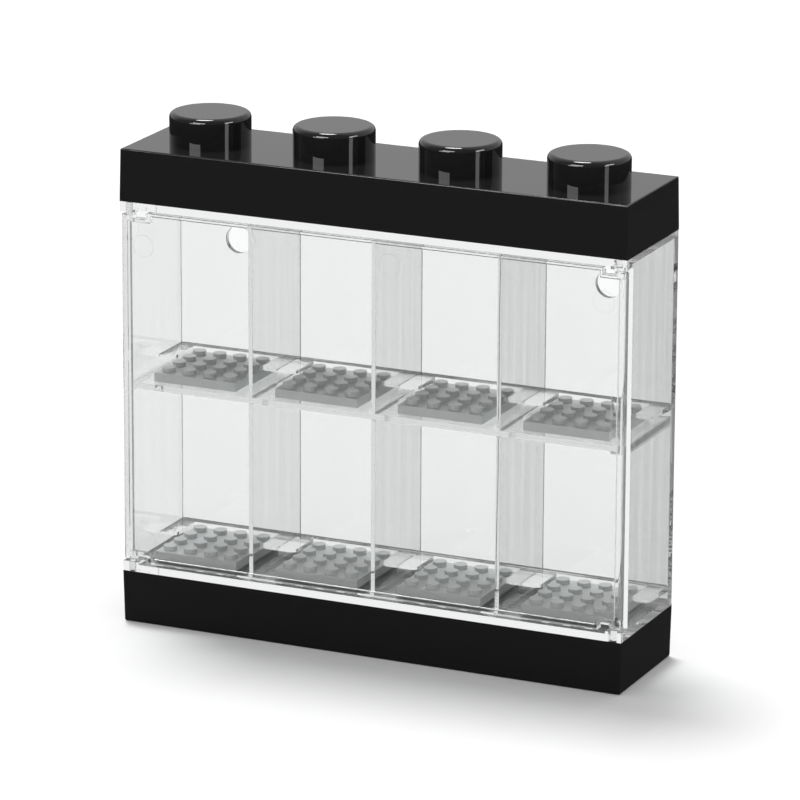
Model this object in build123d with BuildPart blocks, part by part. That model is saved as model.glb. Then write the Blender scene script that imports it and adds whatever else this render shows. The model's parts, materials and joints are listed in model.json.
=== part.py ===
from build123d import *
import os

# A free-standing display box for small toy figures. A clear case of eight cells stands on a black
# base and carries a black lid with four large studs. A clear door covers the front and swings on
# two pins at its left edge. Each cell keeps a small grey stud plate on its floor.
# Frame: +X to the right along the front, +Y to the back, +Z up. The origin is the middle of the
# base's underside. All sizes are in millimetres.

# Outside of the box
width = 190.8
depth = 46.8
base_height = 19.0
case_height = 135.0
lid_height = 18.8

# Lid and base, both moulded shells
cap_wall = 2.4
cap_deck = 2.4
cap_draft = 0.35  # each side draws in by this much towards the lid's top and the base's foot
lid_edge_round = 0.5
base_foot_round = 0.8

# Large studs on the lid, and the sockets under the base that take them
big_stud_count = 4
big_stud_radius = 14.4
big_stud_height = 10.8
big_stud_rim_round = 2.0
socket_clearance = 0.3
socket_rib = 1.6
socket_rib_recess = 1.0  # the ribs end this far above the surface that the box stands on

# Clear case
side_wall = 2.0
back_wall = 2.2
panel = 2.7  # floor and top panel
inner_round = 1.0
outer_back_round = 0.4
hanging_hole_radius = 4.95
hanging_hole_from_side = 24.45
hanging_hole_below_ceiling = 18.8

# Cells
columns = 4
divider_thickness = 1.6
shelf_thickness = 2.2
shelf_end_height = 3.4  # the shelf is thicker where it meets the side walls
shelf_end_width = 1.2
insert_setback = 1.7  # from the door's rim back to the front edges of shelf and dividers
lap_clearance = 0.1  # in the half-way slots where dividers and shelf cross

# Stud plates and the U-shaped ledges that hold them
plate_side = 31.8
plate_height = 3.2
plate_wall = 1.2
plate_top_wall = 1.2
small_stud_radius = 2.4
small_stud_height = 1.7
small_stud_pitch = 8.0
small_stud_rows = 4
plate_clearance = 0.3
ledge_top = 4.9  # above the floor that the plate stands on
ledge_tip = 1.0  # thickness at the ends of its arms
ledge_root = 2.3  # thickness at the back wall
ledge_back = 3.65  # how far the ledge stands out from the back wall
ledge_reach = 19.0  # how far its two arms come forward from the back wall
ledge_round = 3.0

# Door
door_plate = 1.8
door_depth = 3.5
door_rim = 1.3
door_gap = 0.8  # to the floor panel and the top panel
door_side_gap = 0.3  # from the sides of the case
side_bar = 3.0  # width of the rounded bar down each side of the door
side_bar_round = 1.2
notch_height = 2.4
notch_width_left = 10.0
notch_width_right = 9.0
notch_round = 1.0
bar_rise = 1.2  # how far the bars and the barrels stand out of the notches' floors
barrel_radius = 2.0
hinge_from_side = 3.2
hinge_from_front = 2.1
swing_clearance = 0.4  # between the swinging edge and the side walls
pin_radius = 1.4
pin_clearance = 0.05
pin_end_clearance = 0.3
lug_height = 0.9
lug_side = 6.0
catch_clearance = 0.15

# Finger grip on the door's right edge
grip_height = 20.3
grip_centre_above_door_foot = 73.6
grip_from_side = 2.95
grip_proud = 1.7
grip_foot_width = 4.3
grip_crest_width = 2.5
grip_end_fall = 1.5  # how far the crest drops at each end of the grip
grip_end_slope = 1.2

# Round marks that the mould leaves inside the door
mark_radius = 3.9
mark_depth = 0.15
mark_from_side = 8.6
mark_above_foot = 8.0
mark_below_head = 12.0
mark_top_middle = (7.5, 8.1)  # to the right of the middle, below the door's head
mark_foot_middle = (-11.9, 7.6)  # to the left of the middle, above the door's foot

# Places that follow from the sizes above
half_width = width / 2
front = -depth / 2
back = depth / 2
inner_side = half_width - side_wall
inner_back = back - back_wall
case_foot = base_height
case_head = case_foot + case_height
floor_top = case_foot + panel
ceiling = case_head - panel
lid_top = case_head + lid_height
hinge_x = half_width - hinge_from_side
hinge_y = front + hinge_from_front
door_side = half_width - door_side_gap
round_to_hinge = (door_side - side_bar_round - hinge_x, hinge_from_front - side_bar_round)
swing_radius = side_bar_round + (round_to_hinge[0] ** 2 + round_to_hinge[1] ** 2) ** 0.5
wall_front = hinge_y + swing_radius + swing_clearance
insert_front = front + door_depth + insert_setback
insert_middle = (insert_front + inner_back) / 2
door_foot = floor_top + door_gap
door_head = ceiling - door_gap
shelf_foot = (floor_top + ceiling - shelf_thickness) / 2
shelf_top = shelf_foot + shelf_thickness
cell_width = (2 * inner_side - (columns - 1) * divider_thickness) / columns
cell_pitch = cell_width + divider_thickness
cell_centres = [(i - (columns - 1) / 2) * cell_pitch for i in range(columns)]
divider_centres = [(i - (columns - 2) / 2) * cell_pitch for i in range(columns - 1)]
big_stud_pitch = width / big_stud_count
big_stud_centres = [(i - (big_stud_count - 1) / 2) * big_stud_pitch for i in range(big_stud_count)]
plate_middle = inner_back - ledge_back - plate_clearance - plate_side / 2
cut = 5.0  # how far a cutting tool runs past the solid

os.makedirs("parts", exist_ok=True)


def save(part, name):
    """Label a finished piece and write its file."""
    part.label = name
    export_step(part, f"parts/{name}.step")


# Base: a black shell, open underneath, with a socket of ribs for each stud of a box below
with BuildPart() as base:
    with BuildSketch(Plane.XY):
        Rectangle(width - 2 * cap_draft, depth - 2 * cap_draft)
    with BuildSketch(Plane.XY.offset(base_height)):
        Rectangle(width, depth)
    loft(ruled=True)
    fillet(base.faces().sort_by(Axis.Z)[0].edges(), base_foot_round)
    with BuildSketch(Plane.XY):
        Rectangle(width - 2 * (cap_draft + cap_wall), depth - 2 * (cap_draft + cap_wall))
    extrude(amount=base_height - cap_deck, mode=Mode.SUBTRACT)
    rib_offset = big_stud_radius + socket_clearance + socket_rib / 2
    with BuildSketch(Plane.XY.offset(base_height - cap_deck)):
        with Locations((0, -rib_offset), (0, rib_offset)):
            Rectangle(width - 2 * (cap_draft + cap_wall), socket_rib)
        for stud in big_stud_centres:
            with Locations((stud - rib_offset, 0), (stud + rib_offset, 0)):
                Rectangle(socket_rib, 2 * rib_offset)
    extrude(amount=-(base_height - cap_deck - socket_rib_recess))
save(base.part, "base")

# Lid: a black cover with the four large studs, hollow under its deck
with BuildPart() as lid:
    with BuildSketch(Plane.XY.offset(case_head)):
        Rectangle(width, depth)
    with BuildSketch(Plane.XY.offset(lid_top)):
        Rectangle(width - 2 * cap_draft, depth - 2 * cap_draft)
    loft(ruled=True)
    fillet(lid.faces().sort_by(Axis.Z)[-1].edges(), lid_edge_round)
    with BuildSketch(Plane.XY.offset(case_head)):
        Rectangle(width - 2 * (cap_draft + cap_wall), depth - 2 * (cap_draft + cap_wall))
    extrude(amount=lid_height - cap_deck, mode=Mode.SUBTRACT)
    with BuildSketch(Plane.XY.offset(lid_top)):
        with Locations(*[(stud, 0) for stud in big_stud_centres]):
            Circle(big_stud_radius)
    extrude(amount=big_stud_height)
    stud_rims = lid.edges().filter_by(GeomType.CIRCLE).group_by(Axis.Z)[-1]
    fillet(stud_rims, big_stud_rim_round)
save(lid.part, "lid")

# Ledges: a thin U around three sides of each plate, thicker towards the back wall
with BuildPart() as ledges:
    for level in (floor_top, shelf_top):
        for cell in cell_centres:
            with BuildSketch(Plane.XY.offset(level + ledge_top)) as outline:
                with Locations((cell, inner_back)):
                    Rectangle(cell_width, ledge_reach, align=(Align.CENTER, Align.MAX))
                with Locations((cell, inner_back - ledge_back)):
                    Rectangle(
                        plate_side + 2 * plate_clearance,
                        ledge_reach,
                        align=(Align.CENTER, Align.MAX),
                        mode=Mode.SUBTRACT,
                    )
                arm_ends = outline.vertices().group_by(Axis.Y)[0].sort_by(Axis.X)
                fillet(arm_ends[1:3], ledge_round)
            extrude(amount=-ledge_root)
        with BuildSketch(Plane.YZ.offset(-inner_side)):
            with BuildLine():
                Polyline(
                    (inner_back, level + ledge_top - ledge_root),
                    (inner_back - ledge_reach, level + ledge_top - ledge_tip),
                    (inner_back - ledge_reach, level + ledge_top - ledge_root),
                    close=True,
                )
            make_face()
        extrude(amount=2 * inner_side, mode=Mode.SUBTRACT)

# Rear shell: back, sides, floor, top panel and all ledges in one clear moulding
with BuildPart() as rear_shell:
    with BuildSketch(Plane.XY.offset(case_foot)):
        Rectangle(width, depth)
    extrude(amount=case_height)
    fillet(rear_shell.edges().filter_by(Axis.Z).group_by(Axis.Y)[-1], outer_back_round)
    with BuildSketch(Plane.XZ.offset(-inner_back)):
        with Locations((0, (floor_top + ceiling) / 2)):
            Rectangle(2 * inner_side, ceiling - floor_top)
    extrude(amount=depth + cut, mode=Mode.SUBTRACT)
    hollow = rear_shell.faces().filter_by(Plane.XZ).sort_by(Axis.Y)[-2]
    fillet(hollow.edges(), inner_round)
    with BuildSketch(Plane.XY.offset(floor_top)):
        with Locations((0, front - cut)):
            Rectangle(width + 2 * cut, wall_front - front + cut, align=(Align.CENTER, Align.MIN))
    extrude(amount=ceiling - floor_top, mode=Mode.SUBTRACT)
    add(ledges.part)
    # a lug in each front corner lengthens the bore of its pin
    for level, rise in ((floor_top, lug_height), (ceiling, -lug_height)):
        with BuildSketch(Plane.XY.offset(level)):
            for side in (-1, 1):
                with Locations((side * (half_width - lug_side / 2), front + lug_side / 2)):
                    Rectangle(lug_side, lug_side)
        extrude(amount=rise)
    for level, rise in ((case_foot, panel + lug_height), (case_head, -panel - lug_height)):
        with BuildSketch(Plane.XY.offset(level)):
            with Locations((-hinge_x, hinge_y)):
                Circle(pin_radius + pin_clearance)
            with Locations((hinge_x, hinge_y)):
                Circle(pin_radius + catch_clearance)
                Rectangle(
                    2 * (pin_radius + catch_clearance),
                    hinge_from_front + cut,
                    align=(Align.CENTER, Align.MAX),
                )
        extrude(amount=rise, mode=Mode.SUBTRACT)
    hole_x = half_width - hanging_hole_from_side
    with BuildSketch(Plane.XZ.offset(-back)):
        with Locations(*[(side * hole_x, ceiling - hanging_hole_below_ceiling) for side in (-1, 1)]):
            Circle(hanging_hole_radius)
    extrude(amount=back_wall + cut, mode=Mode.SUBTRACT)
save(rear_shell.part, "rear_shell")

# Shelf: slides in under the upper ledges, slotted from its back edge for the dividers
with BuildPart() as shelf:
    with BuildSketch(Plane.XY.offset(shelf_foot)):
        with Locations((0, insert_front)):
            Rectangle(2 * inner_side, inner_back - insert_front, align=(Align.CENTER, Align.MIN))
        for side in (-1, 1):
            with Locations((side * inner_side, insert_front)):
                Rectangle(
                    2 * (inner_side - hinge_x + swing_radius + swing_clearance),
                    2 * (wall_front - insert_front),
                    mode=Mode.SUBTRACT,
                )
    extrude(amount=shelf_thickness)
    with BuildSketch(Plane.XY.offset((shelf_foot + shelf_top - shelf_end_height) / 2)):
        for side in (-1, 1):
            with Locations((side * (inner_side - shelf_end_width / 2), wall_front)):
                Rectangle(
                    shelf_end_width,
                    inner_back - inner_round - wall_front,
                    align=(Align.CENTER, Align.MIN),
                )
    extrude(amount=shelf_end_height)
    back_uprights = shelf.edges().filter_by(Axis.Z).group_by(Axis.Y)[-1].sort_by(Axis.X)
    fillet([back_uprights[0], back_uprights[-1]], inner_round)
    with BuildSketch(Plane.XY.offset(shelf_foot)):
        with Locations(*[(middle, insert_middle) for middle in divider_centres]):
            Rectangle(divider_thickness + 2 * lap_clearance, depth, align=(Align.CENTER, Align.MIN))
    extrude(amount=shelf_thickness, mode=Mode.SUBTRACT)
save(shelf.part, "shelf")

# Dividers: each is slotted from its front edge where the shelf crosses it
divider_names = ["divider_left", "divider_middle", "divider_right"]
for middle, name in zip(divider_centres, divider_names):
    with BuildPart() as divider:
        with BuildSketch(Plane.YZ.offset(middle - divider_thickness / 2)) as outline:
            with Locations((insert_front, floor_top)):
                Rectangle(inner_back - insert_front, ceiling - floor_top, align=(Align.MIN, Align.MIN))
            fillet(outline.vertices().group_by(Axis.X)[-1], inner_round)
            with Locations((insert_middle, (shelf_foot + shelf_top) / 2)):
                Rectangle(
                    depth,
                    shelf_thickness + 2 * lap_clearance,
                    align=(Align.MAX, Align.CENTER),
                    mode=Mode.SUBTRACT,
                )
        extrude(amount=divider_thickness)
    save(divider.part, name)

# Finger grip: a slim bar with sloped flanks and ends on the door's right edge
grip_foot = door_foot + grip_centre_above_door_foot - grip_height / 2
grip_x = half_width - grip_from_side
with BuildPart() as grip:
    with BuildSketch(Plane.XY.offset(grip_foot)):
        with BuildLine():
            Polyline(
                (grip_x - grip_foot_width / 2, front),
                (grip_x - grip_crest_width / 2, front - grip_proud),
                (grip_x + grip_crest_width / 2, front - grip_proud),
                (grip_x + grip_foot_width / 2, front),
                (grip_x + grip_foot_width / 2, front + door_plate / 2),
                (grip_x - grip_foot_width / 2, front + door_plate / 2),
                close=True,
            )
        make_face()
    extrude(amount=grip_height)
    crest = grip.faces().sort_by(Axis.Y)[0]
    crest_ends = crest.edges().filter_by(Axis.X)
    chamfer(crest_ends, length=grip_end_fall, length2=grip_end_slope)

# Door: a clear tray with a rim, a rounded bar down each side, and in the notch at each corner a
# short barrel with a pin
with BuildPart() as door:
    with BuildSketch(Plane.XZ.offset(-front)) as outline:
        with Locations((0, door_foot)):
            Rectangle(2 * door_side, door_head - door_foot, align=(Align.CENTER, Align.MIN))
        notches = ((-door_side, notch_width_left), (door_side, notch_width_right))
        for corner, notch_width in notches:
            with Locations((corner, door_foot), (corner, door_head)):
                Rectangle(2 * (notch_width - door_side_gap), 2 * notch_height, mode=Mode.SUBTRACT)
        levels = outline.vertices().group_by(Axis.Y)
        for level in (levels[1], levels[-2]):
            fillet(level.sort_by(Axis.X)[1:-1], notch_round)
    extrude(amount=-door_depth)
    bar_foot = door_foot + notch_height - bar_rise
    bar_head = door_head - notch_height + bar_rise
    with BuildSketch(Plane.XZ.offset(-front)):
        for side in (-1, 1):
            with Locations((side * (door_side - side_bar / 2), bar_foot)):
                Rectangle(side_bar, bar_head - bar_foot, align=(Align.CENTER, Align.MIN))
    extrude(amount=-door_depth)
    uprights = door.edges().filter_by(Axis.Z).group_by(Axis.X)
    fillet(uprights[0] + uprights[-1], side_bar_round)
    with BuildSketch(Plane.XZ.offset(-front - door_plate)):
        add(outline.sketch)
        offset(amount=-door_rim, kind=Kind.INTERSECTION, mode=Mode.REPLACE)
        with Locations((0, (door_foot + door_head) / 2)):
            Rectangle(2 * (door_side - side_bar), door_head - door_foot, mode=Mode.INTERSECT)
    extrude(amount=-door_depth, mode=Mode.SUBTRACT)
    barrel_length = bar_rise + door_rim
    for level, pin_end, up in ((bar_foot, case_foot, -1), (bar_head, case_head, 1)):
        with BuildSketch(Plane.XY.offset(level)):
            with Locations((-hinge_x, hinge_y), (hinge_x, hinge_y)):
                Circle(barrel_radius)
        extrude(amount=-up * barrel_length)
        with BuildSketch(Plane.XY.offset(level)):
            with Locations((-hinge_x, hinge_y), (hinge_x, hinge_y)):
                Circle(pin_radius)
        extrude(amount=pin_end - up * pin_end_clearance - level)
    add(grip.part)
    mark_x = half_width - mark_from_side
    mark_places = [
        (side * mark_x, height)
        for side in (-1, 1)
        for height in (door_foot + mark_above_foot, door_head - mark_below_head)
    ]
    mark_places.append((mark_top_middle[0], door_head - mark_top_middle[1]))
    mark_places.append((mark_foot_middle[0], door_foot + mark_foot_middle[1]))
    with BuildSketch(Plane.XZ.offset(-front - door_plate)):
        with Locations(*mark_places):
            Circle(mark_radius)
    extrude(amount=mark_depth, mode=Mode.SUBTRACT)
save(door.part, "door")

# Stud plates: 4 x 4 studs each, hollow underneath, the lower row first, from left to right
plate_number = 0
for level in (floor_top, shelf_top):
    for cell in cell_centres:
        plate_number += 1
        with BuildPart() as stud_plate:
            with BuildSketch(Plane.XY.offset(level)):
                with Locations((cell, plate_middle)):
                    Rectangle(plate_side, plate_side)
            extrude(amount=plate_height)
            with BuildSketch(Plane.XY.offset(level)):
                with Locations((cell, plate_middle)):
                    Rectangle(plate_side - 2 * plate_wall, plate_side - 2 * plate_wall)
            extrude(amount=plate_height - plate_top_wall, mode=Mode.SUBTRACT)
            with BuildSketch(Plane.XY.offset(level + plate_height)):
                with Locations((cell, plate_middle)):
                    with GridLocations(
                        small_stud_pitch, small_stud_pitch, small_stud_rows, small_stud_rows
                    ):
                        Circle(small_stud_radius)
            extrude(amount=small_stud_height)
        save(stud_plate.part, f"stud_plate_{plate_number}")
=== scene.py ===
# %% [markdown]
# # A display box for toy figures
# The real object is a small showcase. A clear moulded case of eight cells stands on a glossy black
# base, carries a glossy black lid with four large studs, and has a clear door hinged at its left
# edge. Each cell holds a grey plate of small studs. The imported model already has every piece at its
# real size, so this lesson gives the pieces their finish: rounded edges, clear and glossy plastic,
# and the light of a small photo studio.

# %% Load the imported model
import json
import math

import bmesh
import bpy
from mathutils import Euler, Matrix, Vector

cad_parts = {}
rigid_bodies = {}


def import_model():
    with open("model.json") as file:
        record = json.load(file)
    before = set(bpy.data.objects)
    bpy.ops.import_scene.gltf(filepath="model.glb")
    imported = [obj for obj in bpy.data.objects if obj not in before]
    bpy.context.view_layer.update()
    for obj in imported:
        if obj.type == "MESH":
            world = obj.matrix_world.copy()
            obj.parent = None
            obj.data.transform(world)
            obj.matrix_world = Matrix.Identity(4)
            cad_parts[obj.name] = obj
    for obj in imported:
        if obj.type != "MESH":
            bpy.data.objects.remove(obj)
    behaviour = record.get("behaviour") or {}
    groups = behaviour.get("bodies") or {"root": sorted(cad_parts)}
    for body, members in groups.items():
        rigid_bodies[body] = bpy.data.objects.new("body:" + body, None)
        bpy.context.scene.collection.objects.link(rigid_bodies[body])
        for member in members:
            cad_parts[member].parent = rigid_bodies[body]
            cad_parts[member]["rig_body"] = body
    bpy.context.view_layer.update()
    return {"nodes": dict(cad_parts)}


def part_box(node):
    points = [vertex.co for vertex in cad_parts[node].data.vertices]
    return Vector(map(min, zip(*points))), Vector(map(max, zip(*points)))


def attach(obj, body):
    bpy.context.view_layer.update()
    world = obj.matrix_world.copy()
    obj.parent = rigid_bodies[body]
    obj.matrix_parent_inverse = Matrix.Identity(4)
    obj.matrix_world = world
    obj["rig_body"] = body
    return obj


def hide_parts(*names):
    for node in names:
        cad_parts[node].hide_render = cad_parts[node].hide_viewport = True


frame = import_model()
MM = 0.001

# %% [markdown]
# ## Which piece is which
# The box is made of three plastics, so its sixteen pieces fall into three lists. Everything else
# about them, such as where they are and what they ride on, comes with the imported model.

# %% Pieces by plastic
black_names = ["base", "lid"]
clear_names = ["rear_shell", "shelf", "divider_left", "divider_middle", "divider_right", "door"]
plate_names = sorted(name for name in frame["nodes"] if name.startswith("stud_plate_"))
case_foot, case_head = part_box("base")[1].z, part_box("lid")[0].z
print("clear case from", round(case_foot / MM, 1), "to", round(case_head / MM, 1), "mm above the floor")

# %% [markdown]
# ## Helpers for node trees
# A material is a tree of nodes joined by links. Three short helpers keep the trees readable: one
# adds a node with its values, one joins pairs of sockets, and one starts a shader group, which is a
# small tree with named inputs that several materials can share.

# %% Nodes, links and groups


def add_node(tree, kind, **settings):
    """A new node in the tree. Settings that name an input set its value, the others are properties."""
    node = tree.nodes.new(kind)
    for name, value in settings.items():
        label = name.replace("_", " ")
        if label in node.inputs:
            node.inputs[label].default_value = value
        else:
            setattr(node, name, value)
    return node


def join(tree, *pairs):
    """Links in the tree. A pair is (node, output) and (node, input), each socket by name or number."""
    for (source, output), (target, socket) in pairs:
        tree.links.new(source.outputs[output], target.inputs[socket])


def new_group(name, inputs, output):
    """A group with a Vector input, more inputs and one output, all plain values, and its end nodes."""
    tree = bpy.data.node_groups.new(name, "ShaderNodeTree")
    tree.interface.new_socket("Vector", in_out="INPUT", socket_type="NodeSocketVector")
    for label in inputs:
        tree.interface.new_socket(label, in_out="INPUT", socket_type="NodeSocketFloat")
    tree.interface.new_socket(output, in_out="OUTPUT", socket_type="NodeSocketFloat")
    return tree, add_node(tree, "NodeGroupInput"), add_node(tree, "NodeGroupOutput")


# %% [markdown]
# ## Shader groups
# Moulded plastic is never quite flat: the melt leaves a slow swell in the surface. And handled
# plastic carries faint smears that scatter light a little. All three plastics share these two. Both
# are patterns in the space of the object, so they don't stretch and need no unwrapping, where a
# painted map would need seams on every piece.

# %% The slow swell of a moulded surface
mould_swell, given, result = new_group("mould_swell", ["Scale", "Height"], "Height")
noise = add_node(mould_swell, "ShaderNodeTexNoise", Detail=1.0, Roughness=0.4)
gain = add_node(mould_swell, "ShaderNodeMath", operation="MULTIPLY")
join(mould_swell,
     ((given, "Vector"), (noise, "Vector")),
     ((given, "Scale"), (noise, "Scale")),
     ((noise, "Fac"), (gain, 0)),
     ((given, "Height"), (gain, 1)),
     ((gain, "Value"), (result, "Height")))
print(mould_swell.name, "has", len(mould_swell.nodes), "nodes")

# %% Smears from handling
handling_smears, given, result = new_group("handling_smears", ["Scale", "Low", "High"], "Roughness")
noise = add_node(handling_smears, "ShaderNodeTexNoise", Detail=4.0, Roughness=0.6, Distortion=0.8)
limits = add_node(handling_smears, "ShaderNodeMapRange", From_Min=0.45, From_Max=0.75)
join(handling_smears,
     ((given, "Vector"), (noise, "Vector")),
     ((given, "Scale"), (noise, "Scale")),
     ((noise, "Fac"), (limits, "Value")),
     ((given, "Low"), (limits, "To Min")),
     ((given, "High"), (limits, "To Max")),
     ((limits, "Result"), (result, "Roughness")))
print(handling_smears.name, "has", len(handling_smears.nodes), "nodes")

# %% [markdown]
# ## Draw marks and painted shade
# A deep thin wall leaves its mould with fine upright streaks. A noise texture has round blots, and
# coordinates that are squeezed along the height stretch them into streaks. The walls that face left
# and right are also darkened as a whole, which is painted shade, and a mask on the surface normal
# picks them. A second mask lets the painted shade and the streaks fade towards the left. The group
# puts out the share of light that the wall lets through, which is 1 where neither mask holds.

# %% Streaks and painted shade
streak_squeeze = (0.0, 1.0, 0.015)
streaks_and_painted_shade, given, result = new_group("streaks_and_painted_shade", ["Scale", "Low", "High"], "Value")
squeeze = add_node(streaks_and_painted_shade, "ShaderNodeVectorMath", operation="MULTIPLY")
squeeze.inputs[1].default_value = streak_squeeze
noise = add_node(streaks_and_painted_shade, "ShaderNodeTexNoise", Detail=3.0, Roughness=0.6)
streaks = add_node(streaks_and_painted_shade, "ShaderNodeMapRange", From_Min=0.3, From_Max=0.7)
join(streaks_and_painted_shade,
     ((given, "Vector"), (squeeze, 0)),
     ((squeeze, "Vector"), (noise, "Vector")),
     ((given, "Scale"), (noise, "Scale")),
     ((noise, "Fac"), (streaks, "Value")),
     ((given, "Low"), (streaks, "To Min")),
     ((given, "High"), (streaks, "To Max")))
print("streaks are about", round(streak_squeeze[1] / streak_squeeze[2]), "times as long as wide")

# %% Where the streaks and the painted shade are
# Painted shade: faces whose normal points left or right are darkened, less so towards the left.
side_begin, side_full = 0.95, 0.99
shade_fade_begin, shade_fade_full = -0.16, 0.06
facing = add_node(streaks_and_painted_shade, "ShaderNodeTexCoord")
facing_axes = add_node(streaks_and_painted_shade, "ShaderNodeSeparateXYZ")
sideways = add_node(streaks_and_painted_shade, "ShaderNodeMath", operation="ABSOLUTE")
side_shade_mask = add_node(streaks_and_painted_shade, "ShaderNodeMapRange", From_Min=side_begin, From_Max=side_full)
place_axes = add_node(streaks_and_painted_shade, "ShaderNodeSeparateXYZ")
shade_fade_mask = add_node(streaks_and_painted_shade, "ShaderNodeMapRange", From_Min=shade_fade_begin, From_Max=shade_fade_full)
both_masks = add_node(streaks_and_painted_shade, "ShaderNodeMath", operation="MULTIPLY")
streaked_and_shaded = add_node(streaks_and_painted_shade, "ShaderNodeMix", A=1.0)
join(streaks_and_painted_shade,
     ((facing, "Normal"), (facing_axes, "Vector")),
     ((facing_axes, "X"), (sideways, 0)),
     ((sideways, "Value"), (side_shade_mask, "Value")),
     ((given, "Vector"), (place_axes, "Vector")),
     ((place_axes, "X"), (shade_fade_mask, "Value")),
     ((side_shade_mask, "Result"), (both_masks, 0)),
     ((shade_fade_mask, "Result"), (both_masks, 1)),
     ((both_masks, "Value"), (streaked_and_shaded, "Factor")),
     ((streaks, "Result"), (streaked_and_shaded, "B")),
     ((streaked_and_shaded, "Result"), (result, "Value")))
print(streaks_and_painted_shade.name, "has", len(streaks_and_painted_shade.nodes), "nodes")

# %% [markdown]
# ## Three plastics
# The base and lid are black plastic from a polished mould. Nearly all that the eye sees of them is
# reflection, so their colour is almost nothing and the gloss does the work. The plates are satin
# grey. The case is clear plastic: a true refracting surface gives it the dark and bright lines along
# its edges that a see-through paint never would.

# %% A material with the shared effects


def plastic(name, colour, smear, swell):
    """A Principled plastic. Smear is (scale, low, high) for the roughness, swell is (scale, height)."""
    material = bpy.data.materials.new(name)
    material.use_nodes = True
    tree = material.node_tree
    tree.nodes.clear()
    place = add_node(tree, "ShaderNodeTexCoord")
    surface = add_node(tree, "ShaderNodeBsdfPrincipled", Base_Color=(*colour, 1.0))
    output = add_node(tree, "ShaderNodeOutputMaterial")
    smears = add_node(tree, "ShaderNodeGroup", node_tree=handling_smears)
    for label, value in zip(("Scale", "Low", "High"), smear):
        smears.inputs[label].default_value = value
    waves = add_node(tree, "ShaderNodeGroup", node_tree=mould_swell)
    for label, value in zip(("Scale", "Height"), swell):
        waves.inputs[label].default_value = value
    relief = add_node(tree, "ShaderNodeBump", Strength=1.0, Distance=1.0)
    join(tree,
         ((place, "Object"), (smears, "Vector")),
         ((place, "Object"), (waves, "Vector")),
         ((smears, "Roughness"), (surface, "Roughness")),
         ((waves, "Height"), (relief, "Height")),
         ((relief, "Normal"), (surface, "Normal")),
         ((surface, "BSDF"), (output, "Surface")))
    return material


# %% Black and grey
black = plastic("black_plastic", (0.0130, 0.0124, 0.0126), smear=(30, 0.02, 0.05), swell=(25, 0.00002))
grey = plastic("grey_plastic", (0.52, 0.53, 0.528), smear=(220, 0.18, 0.30), swell=(400, 0.00002))
print("opaque:", black.name, "and", grey.name)

# %% Clear, with draw marks and painted shade
clear_colour = (0.93, 0.937, 0.935)
clear = plastic("clear_plastic", clear_colour, smear=(30, 0.0, 0.02), swell=(18, 0.00004))
clear_tree = clear.node_tree
surface = clear_tree.nodes["Principled BSDF"]
surface.inputs["IOR"].default_value = 1.52
surface.inputs["Transmission Weight"].default_value = 1.0
streak_shade = add_node(clear_tree, "ShaderNodeGroup", node_tree=streaks_and_painted_shade)
# Low and High are the light that the side walls let through: painted shade sets their level, the real
# streaks the spread.
for label, value in (("Scale", 500.0), ("Low", 0.68), ("High", 0.86)):
    streak_shade.inputs[label].default_value = value
tint_and_shade = add_node(clear_tree, "ShaderNodeVectorMath", operation="SCALE")
tint_and_shade.inputs[0].default_value = clear_colour
join(clear_tree,
     ((clear_tree.nodes["Texture Coordinate"], "Object"), (streak_shade, "Vector")),
     ((streak_shade, "Value"), (tint_and_shade, "Scale")),
     ((tint_and_shade, "Vector"), (surface, "Base Color")))
print(clear.name, "bends light by an index of", round(surface.inputs["IOR"].default_value, 2))

# %% [markdown]
# ## Light through the clear case
# A renderer can't aim a shadow ray through a surface that bends it, so a refracting piece casts a
# full shadow. Here the rays that carry light to the plates and the floor, which are shadow rays and
# diffuse rays, meet a plain transparent surface instead. It takes away a little light, as the real
# surface does by reflecting it. The camera and the reflections still see refraction.

# %% Transparent to shadow rays and diffuse rays
passed_light = (0.945, 0.95, 0.95, 1.0)
rays = add_node(clear_tree, "ShaderNodeLightPath")
open_surface = add_node(clear_tree, "ShaderNodeBsdfTransparent", Color=passed_light)
shader = (surface, "BSDF")
for kind in ("Is Shadow Ray", "Is Diffuse Ray"):
    choice = add_node(clear_tree, "ShaderNodeMixShader")
    join(clear_tree,
         ((rays, kind), (choice, "Fac")),
         (shader, (choice, 1)),
         ((open_surface, "BSDF"), (choice, 2)))
    shader = (choice, "Shader")
join(clear_tree, (shader, (clear_tree.nodes["Material Output"], "Surface")))
print(clear.name, "has", len(clear_tree.nodes), "nodes")

# %% [markdown]
# ## From triangles to moulded pieces
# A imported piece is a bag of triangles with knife-sharp edges. No moulded edge is that sharp: a real
# one is rounded by a tenth of a millimetre or more, and that round is what catches the light. So
# each piece is copied, its triangles are merged back into whole faces, a Bevel modifier rounds the
# edges, and Weighted Normal keeps the large faces flat.

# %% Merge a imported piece
merge_distance = 0.002 * MM
flat_angle = math.radians(0.5)


def whole_faces(name):
    """The piece's mesh with equal corners merged, and edges between faces of one plane dissolved."""
    work = bmesh.new()
    work.from_mesh(frame["nodes"][name].data)
    bmesh.ops.remove_doubles(work, verts=work.verts, dist=merge_distance)
    bmesh.ops.dissolve_limit(work, angle_limit=flat_angle, verts=work.verts, edges=work.edges)
    mesh = bpy.data.meshes.new(name + "_moulded")
    work.to_mesh(mesh)
    work.free()
    for attribute in ("custom_normal", "sharp_edge", "sharp_face"):
        if attribute in mesh.attributes:
            mesh.attributes.remove(mesh.attributes[attribute])
    mesh.shade_smooth()
    return mesh


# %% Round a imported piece
edge_angle = math.radians(32)


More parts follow.
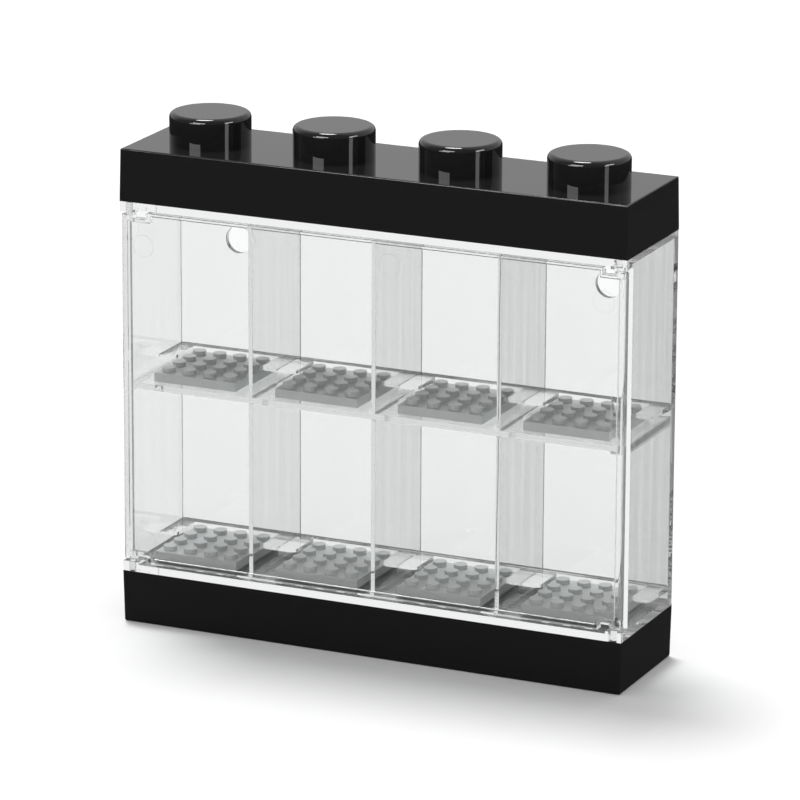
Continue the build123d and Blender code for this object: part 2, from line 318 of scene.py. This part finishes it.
def moulded(name, material, edge_round, segments=3, shrink=0.0):
    """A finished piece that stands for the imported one, with rounded edges and drawn in by shrink."""
    piece = bpy.data.objects.new(name + "_moulded", whole_faces(name))
    bpy.context.scene.collection.objects.link(piece)
    piece.data.materials.clear()
    piece.data.materials.append(material)
    if shrink:
        draw_in = piece.modifiers.new("air_gap", "DISPLACE")
        draw_in.strength = -shrink
        draw_in.mid_level = 0.0
    rounding = piece.modifiers.new("edge_round", "BEVEL")
    rounding.width = edge_round
    rounding.segments = segments
    rounding.limit_method = "ANGLE"
    rounding.angle_limit = edge_angle
    rounding.miter_outer = "MITER_ARC"
    normals = piece.modifiers.new("flat_faces", "WEIGHTED_NORMAL")
    normals.keep_sharp = False
    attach(piece, frame["nodes"][name]["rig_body"])
    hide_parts(name)
    return piece


# %% Black base and lid
for name in black_names:
    piece = moulded(name, black, edge_round=0.4 * MM)
    print(name, "faces:", len(piece.data.polygons))

# %% Grey stud plates
for name in plate_names:
    piece = moulded(name, grey, edge_round=0.25 * MM, segments=2)
print("plates:", len(plate_names), "faces each:", len(piece.data.polygons))

# %% [markdown]
# Faces that lie in one plane flicker in a renderer, and light has to know where plastic ends and air
# begins. So each clear piece is drawn in by a hair, which leaves real air between it and the next.

# %% Clear case and door
air_gap = 0.02 * MM
for name in clear_names:
    piece = moulded(name, clear, edge_round=0.2 * MM, shrink=air_gap)
    print(name, "faces:", len(piece.data.polygons))

# %% [markdown]
# ## The floor
# The box stands on a white sweep. A glossy black face mirrors whatever is in front of it, but the
# real one looks nearly black, so the floor is kept out of reflections, as a polarising filter would
# do it. A ray that is mirrored inside clear plastic and then leaves it no longer counts as a
# reflection, so the floor's material also turns transparent once a ray has been mirrored.

# %% Floor
half_width = 7.0
corners = [(-half_width, -half_width, 0), (half_width, -half_width, 0),
           (half_width, half_width, 0), (-half_width, half_width, 0)]
floor_mesh = bpy.data.meshes.new("floor")
floor_mesh.from_pydata(corners, [], [(0, 1, 2, 3)])
floor = bpy.data.objects.new("floor", floor_mesh)
bpy.context.scene.collection.objects.link(floor)
floor.visible_glossy = False
print("floor is", 2 * half_width, "m wide")

# %% White paper, gone after a mirror
paper_colour = (0.9, 0.9, 0.9, 1.0)
paper = bpy.data.materials.new("floor")
paper.use_nodes = True
paper_tree = paper.node_tree
sheet = paper_tree.nodes["Principled BSDF"]
for label, value in (("Base Color", paper_colour), ("Roughness", 1.0), ("Specular IOR Level", 0.0)):
    sheet.inputs[label].default_value = value
rays = add_node(paper_tree, "ShaderNodeLightPath")
after_mirror = add_node(paper_tree, "ShaderNodeMath", operation="MINIMUM")
after_mirror.inputs[1].default_value = 1.0
nothing = add_node(paper_tree, "ShaderNodeBsdfTransparent")
shown = add_node(paper_tree, "ShaderNodeMixShader")
join(paper_tree,
     ((rays, "Glossy Depth"), (after_mirror, 0)),
     ((after_mirror, "Value"), (shown, "Fac")),
     ((sheet, "BSDF"), (shown, 1)),
     ((nothing, "BSDF"), (shown, 2)),
     ((shown, "Shader"), (paper_tree.nodes["Material Output"], "Surface")))
floor_mesh.materials.append(paper)
print("floor material has", len(paper_tree.nodes), "nodes")

# %% [markdown]
# ## The world
# One world plays four parts, and Light Path says which ray is asking. Rays that light the box find
# an even grey sky. The camera finds white, also through the clear walls. A ray mirrored by the first
# surface that it meets finds white behind and above, and dark in front and below, where the floor is
# hidden. And a ray that has also passed through clear plastic finds white behind and dim light in
# front, which draws the bright and the dark lines along the clear edges.

# %% Strengths of the world
sky_light = 0.66
white = 1.0
mirrored_front, mirrored_back, mirrored_below = 0.2, 0.72, 0.035
inside_front, inside_back = 0.35, 1.0
world = bpy.data.worlds.new("studio")
bpy.context.scene.world = world
world.use_nodes = True
sky = world.node_tree
print("world strengths from", mirrored_below, "to", white)

# %% Strengths by direction
direction = add_node(sky, "ShaderNodeTexCoord")
axes = add_node(sky, "ShaderNodeSeparateXYZ")
join(sky, ((direction, "Generated"), (axes, "Vector")))


def ramp(axis, begin, end, low, high):
    """A smooth rise from low to high while a ray's direction along the axis goes from begin to end."""
    node = add_node(sky, "ShaderNodeMapRange", interpolation_type="SMOOTHSTEP",
                    From_Min=begin, From_Max=end, To_Min=low, To_Max=high)
    join(sky, ((axes, axis), (node, "Value")))
    return node.outputs["Result"]


mirrored_level = ramp("Y", -0.3, 0.4, mirrored_front, mirrored_back)
inside_level = ramp("Y", -0.2, 0.2, inside_front, inside_back)
above_floor = ramp("Z", -0.04, 0.1, 0.0, 1.0)
print("world nodes so far:", len(sky.nodes))

# %% Sums and blends of sockets


def feed(sockets, values):
    """Gives each socket its value: a number is set, and another node's output is linked."""
    for socket, value in zip(sockets, values):
        if isinstance(value, float):
            socket.default_value = value
        else:
            sky.links.new(value, socket)


def calculate(operation, *values):
    """The result of a Math node for two numbers or outputs."""
    node = add_node(sky, "ShaderNodeMath", operation=operation)
    feed(node.inputs, values)
    return node.outputs["Value"]


def blend(factor, low, high):
    """A value that goes from low to high with the factor. Each is a number or an output."""
    node = add_node(sky, "ShaderNodeMix")
    feed(node.inputs[:1] + node.inputs[2:4], (factor, low, high))
    return node.outputs[0]


# %% Strength by ray
rays = add_node(sky, "ShaderNodeLightPath")
never_mirrored = calculate("LESS_THAN", rays.outputs["Glossy Depth"], 0.5)
seen_through = calculate("MULTIPLY", rays.outputs["Is Transmission Ray"], never_mirrored)
inside = calculate("MINIMUM", rays.outputs["Transmission Depth"], 1.0)
first_mirrored = blend(above_floor, mirrored_below, mirrored_level)
mirrored = blend(inside, first_mirrored, inside_level)
strength = blend(rays.outputs["Is Glossy Ray"], sky_light, mirrored)
strength = blend(seen_through, strength, white)
strength = blend(rays.outputs["Is Camera Ray"], strength, white)
background = sky.nodes["Background"]
background.inputs["Color"].default_value = (1.0, 1.0, 1.0, 1.0)
sky.links.new(strength, background.inputs["Strength"])
print("world has", len(sky.nodes), "nodes")

# %% [markdown]
# ## The lamp
# One large soft lamp stands high behind the box on the left and lays the pale shadow to the front
# right. The edge of a shadow is as soft as the lamp is wide in the sky, so the lamp is described by
# the angle that it fills and by its radiance, and its size and power follow. It is far away, so that
# it lights the floor evenly.

# %% Aim at the box
box_middle = Vector((0.0, 0.0, 0.1))


def aimed(position):
    """The turn that points an object's -Z axis from its position to the middle of the box."""
    return (box_middle - Vector(position)).to_track_quat("-Z", "Y").to_euler()


# %% Soft lamp
lamp_distance = 15.0


def soft_lamp(name, azimuth, elevation, half_angle, radiance):
    """A round lamp aimed at the box. Its azimuth is measured from behind, to the right.

    The power of a disk that glows evenly is its radiance times pi times its area.
    """
    radius = lamp_distance * math.tan(math.radians(half_angle))
    data = bpy.data.lights.new(name, "AREA")
    data.shape = "DISK"
    data.size = 2 * radius
    data.energy = radiance * math.pi * math.pi * radius ** 2
    lamp = bpy.data.objects.new(name, data)
    level = math.cos(math.radians(elevation)) * lamp_distance
    lamp.location = (level * math.sin(math.radians(azimuth)), level * math.cos(math.radians(azimuth)),
                     math.sin(math.radians(elevation)) * lamp_distance)
    lamp.rotation_euler = aimed(lamp.location)
    lamp.visible_camera = False
    lamp.visible_transmission = False
    bpy.context.scene.collection.objects.link(lamp)
    return lamp


high_lamp = soft_lamp("high_lamp", azimuth=-48, elevation=72, half_angle=9, radiance=24.0)
print("lamp is", round(high_lamp.data.size, 1), "m wide and gives", round(high_lamp.data.energy), "W")

# %% [markdown]
# ## The cards
# A photographer draws highlights with white cards. These glow, and only reflections see them, so
# they change nothing else. The two high cards give the bright arcs on the rims of the large studs.
# The camera looks down, so a stud's side mirrors what lies below the horizon: the low card at the
# right, which hangs lower than the floor, gives it the upright streak. The lid mirrors the studs in
# turn. There the tall card carries the streak on, and the low front card adds a pale patch.

# %% Reflection cards


def reflection_card(name, position, size, strength):
    """A glowing rectangle, width by height, that only reflections see, aimed at the box."""
    x, y = size[0] / 2, size[1] / 2
    mesh = bpy.data.meshes.new(name)
    mesh.from_pydata([(-x, -y, 0), (x, -y, 0), (x, y, 0), (-x, y, 0)], [], [(0, 3, 2, 1)])
    card = bpy.data.objects.new(name, mesh)
    card.location = position
    card.rotation_euler = aimed(position)
    bpy.context.scene.collection.objects.link(card)
    material = bpy.data.materials.new(name)
    material.use_nodes = True
    material.node_tree.nodes.clear()
    glow = add_node(material.node_tree, "ShaderNodeEmission", Strength=strength)
    output = add_node(material.node_tree, "ShaderNodeOutputMaterial")
    join(material.node_tree, ((glow, "Emission"), (output, "Surface")))
    mesh.materials.append(material)
    for kind in ("camera", "diffuse", "transmission", "volume_scatter", "shadow"):
        setattr(card, "visible_" + kind, False)


cards = [
    ("front_left_card", (-0.3, -1.5, 1.0), (1.0, 0.35), 14.0),
    ("right_card", (1.5, -0.15, 1.0), (0.7, 0.35), 12.0),
    ("right_low_card", (1.42, -0.476, -0.178), (0.28, 0.3), 1.9),
    ("right_tall_card", (1.42, -0.476, 0.56), (0.28, 0.4), 7.5),
    ("front_low_card", (-0.53, -1.40, 0.55), (0.85, 0.3), 7.0),
]
for name, position, size, strength in cards:
    reflection_card(name, position, size, strength)
    print(name, "glows with", strength)

# %% [markdown]
# ## The camera
# The photograph was taken from the front right, a little above the box, with a long lens. The place,
# the direction and the focal length below were found by matching the corners of base and lid.

# %% Camera
camera_place = (0.75022, -1.65199, 0.6145)
camera_azimuth = 24.379
camera_elevation = 16.195
camera_roll = 0.27
focal_pixels = 5422.4
frame_pixels = 800
camera_data = bpy.data.cameras.new("camera")
camera_data.sensor_width = 36.0
camera_data.lens = focal_pixels / frame_pixels * camera_data.sensor_width
camera_data.clip_end = 50.0
camera = bpy.data.objects.new("camera", camera_data)
camera.location = camera_place
turn = Euler((math.radians(90 - camera_elevation), 0, math.radians(camera_azimuth))).to_quaternion()
roll = Euler((0, 0, math.radians(camera_roll))).to_quaternion()
camera.rotation_euler = (turn @ roll).to_euler()
bpy.context.scene.collection.objects.link(camera)
bpy.context.scene.camera = camera
print("lens in mm:", round(camera_data.lens, 1))

# %% [markdown]
# ## Settings that belong to the look
# Light that enters a clear wall runs along inside it, as in a light guide, and bounces many times
# before it leaves by an edge. With few bounces such edges turn black, so the limits are high. The
# Standard view transform keeps white paper white.

# %% Light paths and view
most_bounces = 96
scene = bpy.context.scene
scene.view_settings.view_transform = "Standard"
scene.cycles.max_bounces = most_bounces
scene.cycles.transmission_bounces = most_bounces
scene.cycles.transparent_max_bounces = most_bounces
scene.cycles.glossy_bounces = most_bounces
print("bounces:", most_bounces)
